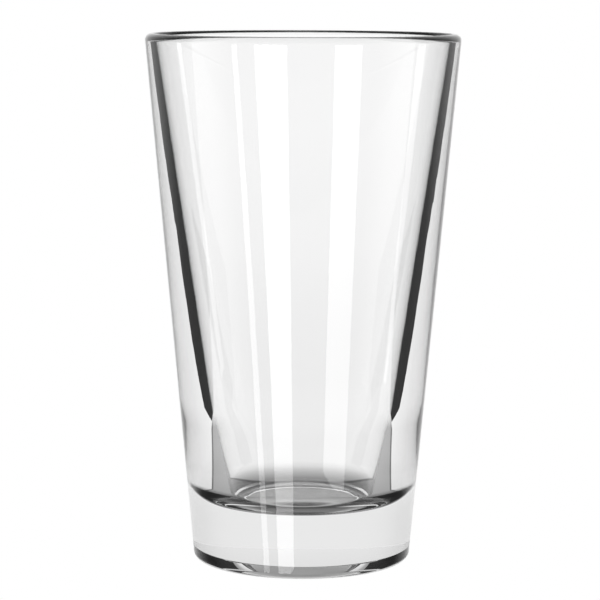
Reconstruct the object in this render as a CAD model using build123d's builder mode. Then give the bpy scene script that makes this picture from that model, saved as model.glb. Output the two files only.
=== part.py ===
from build123d import *
import os

# A straight-sided bar mixing glass: one piece of pressed soda-lime glass.
# The cavity tapers faster than the outside, so the wall thickens towards a solid base.
# Millimetres. The foot stands on z = 0, and the axis of revolution is +Z.

# Outside cone
height = 149.2
rim_radius = 44.45
# Cavity: a straight taper down to the throat, a slightly steeper one below it, and a gently dished floor
rim_wall = 2.7
throat_radius = 25.9
throat_height = 43.0
floor_radius = 20.5
floor_edge_thickness = 16.8
floor_centre_thickness = 16.2
# Underside: a flat bearing ring around a shallow domed push-up
bearing_outer_radius = 30.75
bearing_inner_radius = 26.3
push_up_radius = 22.0
push_up_height = 2.7
push_up_crown = 3.0
# Rounded corners: the lip is rolled over outwards and has a tighter inner edge
lip_outer_round = 1.85
lip_inner_round = 0.6
throat_round = 110.0
floor_corner_round = 7.0
heel_round = 2.0
bearing_inner_round = 1.0
push_up_round = 1.5

mouth_radius = rim_radius - rim_wall

with BuildPart() as glass_body:
    with BuildSketch(Plane.XZ) as half_section:
        with BuildLine() as outline:
            skin = FilletPolyline(
                (0, push_up_crown),
                (push_up_radius, push_up_height),
                (bearing_inner_radius, 0),
                (bearing_outer_radius, 0),
                (rim_radius, height),
                (mouth_radius, height),
                (throat_radius, throat_height),
                (floor_radius, floor_edge_thickness),
                (0, floor_centre_thickness),
                radius=[
                    push_up_round,
                    bearing_inner_round,
                    heel_round,
                    lip_outer_round,
                    lip_inner_round,
                    throat_round,
                    floor_corner_round,
                ],
            )
            Line(skin @ 1, skin @ 0)
        make_face()
    revolve(axis=Axis.Z)
glass_body.part.label = "glass_body"

os.makedirs("parts", exist_ok=True)
export_step(glass_body.part, "parts/glass_body.step")
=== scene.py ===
"""A bar mixing glass of pressed soda-lime glass, in a bright product-photo tent. Lengths are in metres."""
import math

import bpy
from mathutils import Matrix, Vector


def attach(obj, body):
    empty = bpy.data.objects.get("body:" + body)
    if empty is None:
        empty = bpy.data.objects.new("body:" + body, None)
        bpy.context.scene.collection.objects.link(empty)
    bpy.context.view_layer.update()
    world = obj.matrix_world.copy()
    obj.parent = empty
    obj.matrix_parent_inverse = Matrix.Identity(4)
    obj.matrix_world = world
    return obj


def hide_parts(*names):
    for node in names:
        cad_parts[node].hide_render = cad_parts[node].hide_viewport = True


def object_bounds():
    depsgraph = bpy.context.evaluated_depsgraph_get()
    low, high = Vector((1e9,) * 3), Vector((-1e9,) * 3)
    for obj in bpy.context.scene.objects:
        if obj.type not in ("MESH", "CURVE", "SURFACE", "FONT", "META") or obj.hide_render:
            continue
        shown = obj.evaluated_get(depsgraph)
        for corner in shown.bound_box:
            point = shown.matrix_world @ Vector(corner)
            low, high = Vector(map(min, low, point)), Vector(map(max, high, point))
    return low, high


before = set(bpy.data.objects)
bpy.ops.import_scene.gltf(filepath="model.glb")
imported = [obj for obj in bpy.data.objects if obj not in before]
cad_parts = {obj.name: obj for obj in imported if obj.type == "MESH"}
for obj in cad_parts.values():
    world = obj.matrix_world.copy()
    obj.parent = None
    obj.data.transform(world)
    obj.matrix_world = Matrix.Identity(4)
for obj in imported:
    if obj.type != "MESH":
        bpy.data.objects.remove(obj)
cad_lo, cad_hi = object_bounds()

MM = 0.001

# The glass, as the CAD part has it
HEIGHT = cad_hi.z
RIM_RADIUS = 44.45 * MM
RIM_WALL = 2.7 * MM
LIP_OUTER_ROUND = 1.85 * MM
LIP_INNER_ROUND = 0.6 * MM
THROAT_RADIUS = 25.9 * MM
THROAT_HEIGHT = 43.0 * MM
THROAT_ROUND = 110.0 * MM
FLOOR_RADIUS = 20.5 * MM
FLOOR_EDGE_THICKNESS = 16.8 * MM
FLOOR_CENTRE_THICKNESS = 16.2 * MM
FLOOR_CORNER_ROUND = 7.0 * MM
PUSH_UP_CROWN = 3.0 * MM
PUSH_UP_HEIGHT = 2.7 * MM
PUSH_UP_RADIUS = 22.0 * MM
PUSH_UP_ROUND = 1.5 * MM
BEARING_INNER_RADIUS = 26.3 * MM
BEARING_INNER_ROUND = 1.0 * MM
BEARING_OUTER_RADIUS = 30.75 * MM
HEEL_ROUND = 2.0 * MM

SEGMENTS = 256
ARC_STEP = math.radians(4)

# The camera looks a little down at the middle of the glass
CAMERA_DISTANCE = 704 * MM
CAMERA_HEIGHT = 165.4 * MM
CAMERA_PITCH = math.radians(7.404)
CAMERA_ASIDE = 0.65 * MM
CAMERA_ROLL = math.radians(0.2)
CAMERA_LENS = 150.0


def rounded(corners):
    """The outline through (radius, height, rounding) corners, as points with their normals and true arcs."""
    spots = [Vector((r, z)) for r, z, rounding in corners]
    outline = []
    for i, (r, z, rounding) in enumerate(corners):
        here = spots[i]
        before = (here - spots[i - 1]).normalized() if i > 0 else None
        after = (spots[i + 1] - here).normalized() if i < len(spots) - 1 else None
        if before is None or after is None:
            way = after or before
            outline.append((here, Vector((0, -1 if way is after else 1))))
            continue
        turn = before.angle_signed(after)
        reach = rounding * math.tan(abs(turn) / 2)
        steps = max(2, math.ceil(abs(turn) / ARC_STEP))
        side = 1 if turn < 0 else -1
        centre = here - before * reach + Vector((-before.y, before.x)) * rounding * side
        for step in range(steps + 1):
            spin = Matrix.Rotation(-turn * step / steps, 2)
            normal = spin @ Vector((before.y, -before.x))
            outline.append((centre + normal * rounding * side, normal))
    return outline


def revolve(name, outline):
    """One closed surface of revolution about Z, with the outline's own normals."""
    spots, normals, rings, faces = [], [], [], []
    for point, normal in outline:
        count = 1 if point.x < 1e-6 else SEGMENTS
        rings.append(range(len(spots), len(spots) + count))
        for k in range(count):
            turn = 2 * math.pi * k / SEGMENTS
            c, s = math.cos(turn), math.sin(turn)
            spots.append((point.x * c, point.x * s, point.y))
            normals.append((normal.x * c, normal.x * s, normal.y))
    for low, high in zip(rings, rings[1:]):
        for k in range(SEGMENTS):
            a, b = k, (k + 1) % SEGMENTS
            if len(low) == 1:
                faces.append((low[0], high[b], high[a]))
            elif len(high) == 1:
                faces.append((low[a], low[b], high[0]))
            else:
                faces.append((low[a], low[b], high[b], high[a]))
    mesh = bpy.data.meshes.new(name)
    mesh.from_pydata(spots, [], faces)
    mesh.polygons.foreach_set("use_smooth", [True] * len(faces))
    mesh.normals_split_custom_set_from_vertices(normals)
    piece = bpy.data.objects.new(name, mesh)
    bpy.context.scene.collection.objects.link(piece)
    return piece


def maths(tree, operation, a, b=0.0, c=0.0):
    """A math node, fed with sockets or plain numbers."""
    node = tree.nodes.new("ShaderNodeMath")
    node.operation = operation
    for socket, value in zip(node.inputs, (a, b, c)):
        if isinstance(value, (int, float)):
            socket.default_value = value
        else:
            tree.links.new(value, socket)
    return node.outputs[0]


GLASS_IOR = 1.52
# Faint waves that the mould and the fire polish leave in the skin, and the worn ring that the glass stands on
RIPPLE_SCALE = 55.0
RIPPLE_DEPTH = 0.02 * MM
WEAR_HEIGHT = 0.35 * MM
WEAR_ROUGHNESS = 0.35
WEAR_GRAIN = 900.0


def pressed_glass():
    """Clear, fire-polished soda-lime glass with faint waves in its skin and a scuffed bearing ring."""
    material = bpy.data.materials.new("pressed_glass")
    material.use_nodes = True
    tree = material.node_tree
    shader = tree.nodes["Principled BSDF"]
    shader.inputs["Base Color"].default_value = (1, 1, 1, 1)
    shader.inputs["Transmission Weight"].default_value = 1
    shader.inputs["IOR"].default_value = GLASS_IOR

    place = tree.nodes.new("ShaderNodeTexCoord")
    waves = tree.nodes.new("ShaderNodeTexNoise")
    waves.inputs["Scale"].default_value = RIPPLE_SCALE
    waves.inputs["Detail"].default_value = 1
    tree.links.new(place.outputs["Object"], waves.inputs["Vector"])
    bump = tree.nodes.new("ShaderNodeBump")
    bump.inputs["Strength"].default_value = 1
    bump.inputs["Distance"].default_value = RIPPLE_DEPTH
    tree.links.new(waves.outputs[0], bump.inputs["Height"])
    tree.links.new(bump.outputs[0], shader.inputs["Normal"])

    height = tree.nodes.new("ShaderNodeSeparateXYZ")
    tree.links.new(place.outputs["Object"], height.inputs[0])
    grain = tree.nodes.new("ShaderNodeTexNoise")
    grain.inputs["Scale"].default_value = WEAR_GRAIN
    tree.links.new(place.outputs["Object"], grain.inputs["Vector"])
    worn = maths(tree, "LESS_THAN", height.outputs[2], WEAR_HEIGHT)
    scuffs = maths(tree, "MULTIPLY", grain.outputs[0], WEAR_ROUGHNESS)
    tree.links.new(maths(tree, "MULTIPLY", worn, scuffs), shader.inputs["Roughness"])
    return material


glass = revolve("mixing_glass", rounded([
    (0, PUSH_UP_CROWN, 0),
    (PUSH_UP_RADIUS, PUSH_UP_HEIGHT, PUSH_UP_ROUND),
    (BEARING_INNER_RADIUS, 0, BEARING_INNER_ROUND),
    (BEARING_OUTER_RADIUS, 0, HEEL_ROUND),
    (RIM_RADIUS, HEIGHT, LIP_OUTER_ROUND),
    (RIM_RADIUS - RIM_WALL, HEIGHT, LIP_INNER_ROUND),
    (THROAT_RADIUS, THROAT_HEIGHT, THROAT_ROUND),
    (FLOOR_RADIUS, FLOOR_EDGE_THICKNESS, FLOOR_CORNER_ROUND),
    (0, FLOOR_CENTRE_THICKNESS, 0),
]))
glass.data.materials.append(pressed_glass())
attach(glass, "root")
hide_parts("glass_body")


# ---- the studio ----

def by_steps(tree, value, stops):
    """A brightness that follows value through (value, brightness) stops."""
    node = tree.nodes.new("ShaderNodeFloatCurve")
    low, high = stops[0][0], stops[-1][0]
    peak = max(level for _, level in stops) or 1
    node.mapping.extend = "HORIZONTAL"
    curve = node.mapping.curves[0]
    while len(curve.points) < len(stops):
        curve.points.new(0.5, 0.5)
    for point, (at, level) in zip(curve.points, stops):
        point.location = ((at - low) / (high - low), level / peak)
        point.handle_type = "VECTOR"
    node.mapping.update()
    share = maths(tree, "DIVIDE", maths(tree, "SUBTRACT", value, low), high - low)
    tree.links.new(share, node.inputs["Value"])
    return maths(tree, "MULTIPLY", node.outputs[0], peak)


def pick(tree, switch, off, on):
    """off where switch is 0, on where it is 1."""
    return maths(tree, "ADD", off, maths(tree, "MULTIPLY", switch, maths(tree, "SUBTRACT", on, off)))


def light_path(tree):
    """Switches, 0 or 1: seen directly, mirrored by the skin, bounced inside. Then the number of bounces."""
    path = tree.nodes.new("ShaderNodeLightPath")
    bounced = maths(tree, "GREATER_THAN", path.outputs["Glossy Depth"], 0.5)
    inside = maths(tree, "GREATER_THAN", path.outputs["Transmission Depth"], 0.5)
    inner = maths(tree, "MULTIPLY", bounced, inside)
    outer = maths(tree, "SUBTRACT", bounced, inner)
    return path.outputs["Is Camera Ray"], outer, inner, path.outputs["Glossy Depth"]


def glow_or_clear(name, build):
    """A stage material from build(tree), which gives (strength, share that is see-through)."""
    material = bpy.data.materials.new(name)
    material.use_nodes = True
    tree = material.node_tree
    tree.nodes.clear()
    glow = tree.nodes.new("ShaderNodeEmission")
    clear = tree.nodes.new("ShaderNodeBsdfTransparent")
    mix = tree.nodes.new("ShaderNodeMixShader")
    out = tree.nodes.new("ShaderNodeOutputMaterial")
    strength, see_through = build(tree)
    if isinstance(strength, (int, float)):
        glow.inputs["Strength"].default_value = strength
    else:
        tree.links.new(strength, glow.inputs["Strength"])
    tree.links.new(see_through, mix.inputs[0])
    tree.links.new(glow.outputs[0], mix.inputs[1])
    tree.links.new(clear.outputs[0], mix.inputs[2])
    tree.links.new(mix.outputs[0], out.inputs["Surface"])
    return material


def stage_mesh(name, corners, material):
    """One flat stage piece through its corners in order."""
    mesh = bpy.data.meshes.new(name)
    mesh.from_pydata(corners, [], [tuple(range(len(corners)))])
    mesh.materials.append(material)
    piece = bpy.data.objects.new(name, mesh)
    bpy.context.scene.collection.objects.link(piece)
    return piece


# Half the width of the floor, in metres, and how far it lies below the foot, so that the two never coincide
FLOOR_HALF = 3.0
FLOOR_GAP = 0.3 * MM
# What is left of the light by how many times it has bounced inside the glass, on the table and in the tent
TABLE_BOUNCES = [(1.0, 1.0), (2.0, 0.2), (4.0, 0.2), (5.0, 0.04)]
TENT_BOUNCES = [(1.0, 1.0), (4.0, 0.8), (5.0, 0.04)]

# Painted shadow round the foot: table brightness by distance from the axis
FOOT_SHADOW_PAINT = [(0.0, 0.02), (0.007, 0.02), (0.011, 0.45), (0.021, 0.35), (0.026, 0.15), (0.031, 0.15),
             (0.060, 0.80), (0.075, 0.92), (0.15, 0.94), (1.0, 1.04)]
# The painted lit part of the table starts at a straight edge behind the axis
LIT_EDGE = 30 * MM
# Share of the light that the painted edge and the painted shade before it take away, from front to back, then
# by distance out
ACROSS_EDGE = [(-0.060, 0.0), (-0.030, 0.45), (-0.0025, 0.50), (-0.0008, 0.85), (0.0004, 0.85), (0.0025, 0.0)]
EDGE_REACH = [(BEARING_OUTER_RADIUS - 0.0005, 0.0), (BEARING_OUTER_RADIUS, 1.0), (0.09, 1.0), (0.115, 0.0)]
# Painted sheen of the table by how flat a ray meets it, and the brightness of that painted sheen by distance
# from the axis
EVEN_BLEND = 0.5
SHEEN = [(0.74, 0.0), (0.87, 1.0)]
SHEEN_LEVEL = [(0.15, 0.86), (0.50, 1.0), (1.0, 1.04)]
# Brightness all round, by how much the way points back: -1 is the world's -Y, the front, and 1 is its +Y
# Painted shade: for light bounced inside the glass the table is darker towards the front
TABLE_ROUND = [(-1.0, 0.4), (-0.5, 0.4), (0.0, 1.1), (1.0, 1.0)]
TENT_ROUND = [(-1.0, 0.1), (-0.5, 0.1), (0.0, 0.8), (0.5, 1.0), (1.0, 1.0)]
SKIN_ROUND = [(-1.0, 0.55), (-0.5, 0.52), (0.0, 0.38), (0.3, 0.2), (0.5, 0.2), (0.7, 0.5), (1.0, 0.95)]
# Brightness of the tent by how much the way points up
TENT_RISE = [(-0.05, 0.92), (0.05, 0.92), (0.17, 0.84), (0.30, 0.78), (0.55, 0.45), (0.92, 0.3), (1.0, 0.34)]


def parts_of(tree, vector):
    split = tree.nodes.new("ShaderNodeSeparateXYZ")
    tree.links.new(vector, split.inputs[0])
    return split.outputs


def level_length(tree, x, y):
    return maths(tree, "SQRT", maths(tree, "ADD", maths(tree, "POWER", x, 2), maths(tree, "POWER", y, 2)))


def floor_glow(tree):
    """White to the camera, clear to the skin's mirror images, and through the glass darker near the foot with
    a painted shadow, painted shade and a painted sheen.
    """
    seen, outer, inner, bounces = light_path(tree)
    place = tree.nodes.new("ShaderNodeNewGeometry")
    x, y, _ = parts_of(tree, place.outputs["Position"])
    away = level_length(tree, x, y)
    # Painted shade: a dark line at the lit edge and grey shade before it
    past = maths(tree, "SUBTRACT", y, LIT_EDGE)
    taken = maths(tree, "MULTIPLY", by_steps(tree, past, ACROSS_EDGE), by_steps(tree, away, EDGE_REACH))
    # Painted shadow round the foot darkens the table
    level = maths(tree, "MULTIPLY", by_steps(tree, away, FOOT_SHADOW_PAINT), maths(tree, "SUBTRACT", 1.0, taken))
    # Painted sheen: the table is brighter where a ray meets it flat
    flat = tree.nodes.new("ShaderNodeLayerWeight")
    flat.inputs["Blend"].default_value = EVEN_BLEND
    sheen = by_steps(tree, away, SHEEN_LEVEL)
    level = pick(tree, by_steps(tree, flat.outputs["Facing"], SHEEN), level, sheen)
    # Painted shade on the table for light bounced inside the glass, darker towards the front
    back = maths(tree, "DIVIDE", y, away)
    share = maths(tree, "MULTIPLY", by_steps(tree, back, TABLE_ROUND), by_steps(tree, bounces, TABLE_BOUNCES))
    level = maths(tree, "MULTIPLY", level, pick(tree, inner, 1.0, share))
    return pick(tree, seen, level, 1.0), outer


def tent():
    """White all round for light that passes straight through, grey for the skin's mirror images."""
    world = bpy.data.worlds.new("tent")
    bpy.context.scene.world = world
    world.use_nodes = True
    tree = world.node_tree
    tree.nodes.clear()
    seen, outer, inner, bounces = light_path(tree)
    way = tree.nodes.new("ShaderNodeTexCoord")
    x, y, z = parts_of(tree, way.outputs["Generated"])
    back = maths(tree, "DIVIDE", y, level_length(tree, x, y))
    level = by_steps(tree, z, TENT_RISE)
    share = maths(tree, "MULTIPLY", by_steps(tree, back, TENT_ROUND), by_steps(tree, bounces, TENT_BOUNCES))
    level = maths(tree, "MULTIPLY", level, pick(tree, inner, 1.0, share))
    level = pick(tree, outer, level, by_steps(tree, back, SKIN_ROUND))
    background = tree.nodes.new("ShaderNodeBackground")
    background.inputs["Color"].default_value = (1, 1, 1, 1)
    out = tree.nodes.new("ShaderNodeOutputWorld")
    tree.links.new(pick(tree, seen, level, 1.0), background.inputs["Strength"])
    tree.links.new(background.outputs[0], out.inputs["Surface"])


# The two black cards lie flat on the table either side of the glass: corners (sideways, back) in millimetres
CARD_LEVEL = 0.01
CARD_LIFT = 0.1 * MM
CARD_CORNERS = [(95, 32), (140, 110), (225, 260), (420, 1000), (1200, 1000), (600, 0)]


def add_cards():
    """Black cards that only light bounced inside the glass sees."""
    felt = glow_or_clear("card", lambda tree: (CARD_LEVEL, maths(tree, "SUBTRACT", 1.0, light_path(tree)[2])))
    for name, side in (("card_left", -1), ("card_right", 1)):
        outline = [(side * x * MM, y * MM, CARD_LIFT - FLOOR_GAP) for x, y in CARD_CORNERS]
        stage_mesh(name, outline, felt).visible_camera = False


STRIP_DISTANCE = 3.0
# Name, strength, then (height, left edge, right edge) at the top and at the bottom. Edges are degrees off -Y
STRIPS = [
    ("strip_a", 4.5, (-0.40, -36, -12), (-1.32, -24.5, -8)),
    ("strip_b", 3.5, (-0.40, -53, -49), (-1.32, -40, -34)),
    ("strip_c", 3.4, (-0.40, 23, 43), (-1.14, 21, 43)),
    ("strip_d", 2.2, (-0.25, -104, -100), (-0.86, -79, -75)),
    ("strip_e", 2.2, (-0.25, 92, 100), (-0.86, 80, 83)),
]


def add_strips():
    """Strip lights far round on the camera's side, mirrored only by the glass's outer skin."""
    for name, strength, top, bottom in STRIPS:
        lamp = glow_or_clear(name, lambda tree: (strength, maths(tree, "SUBTRACT", 1.0, light_path(tree)[1])))
        corners = []
        ends = ((bottom[0], bottom[1]), (bottom[0], bottom[2]), (top[0], top[2]), (top[0], top[1]))
        for height, turn in ends:
            a = math.radians(turn)
            corners.append((STRIP_DISTANCE * math.sin(a), -STRIP_DISTANCE * math.cos(a), height))
        stage_mesh(name, corners, lamp).visible_camera = False


# Light is guided many times round inside the thick base
LIGHT_BOUNCES = 32


def add_camera():
    data = bpy.data.cameras.new("camera")
    data.lens = CAMERA_LENS
    data.sensor_width = 36
    data.clip_start = 0.05
    data.clip_end = 50
    camera = bpy.data.objects.new("camera", data)
    bpy.context.scene.collection.objects.link(camera)
    place = Vector((0, -CAMERA_DISTANCE, CAMERA_HEIGHT))
    target = Vector((-CAMERA_ASIDE, 0, CAMERA_HEIGHT - CAMERA_DISTANCE * math.tan(CAMERA_PITCH)))
    look = (target - place).to_track_quat("-Z", "Y").to_matrix().to_4x4()
    camera.matrix_world = Matrix.Translation(place) @ look @ Matrix.Rotation(CAMERA_ROLL, 4, "Z")
    bpy.context.scene.camera = camera


floor_corners = [(FLOOR_HALF * x, FLOOR_HALF * y, -FLOOR_GAP) for x, y in ((-1, -1), (1, -1), (1, 1), (-1, 1))]
stage_mesh("floor", floor_corners, glow_or_clear("floor", floor_glow))
add_cards()
add_strips()
tent()
add_camera()
scene = bpy.context.scene
scene.view_settings.view_transform = "Standard"
scene.cycles.max_bounces = LIGHT_BOUNCES
scene.cycles.glossy_bounces = LIGHT_BOUNCES
scene.cycles.transmission_bounces = LIGHT_BOUNCES
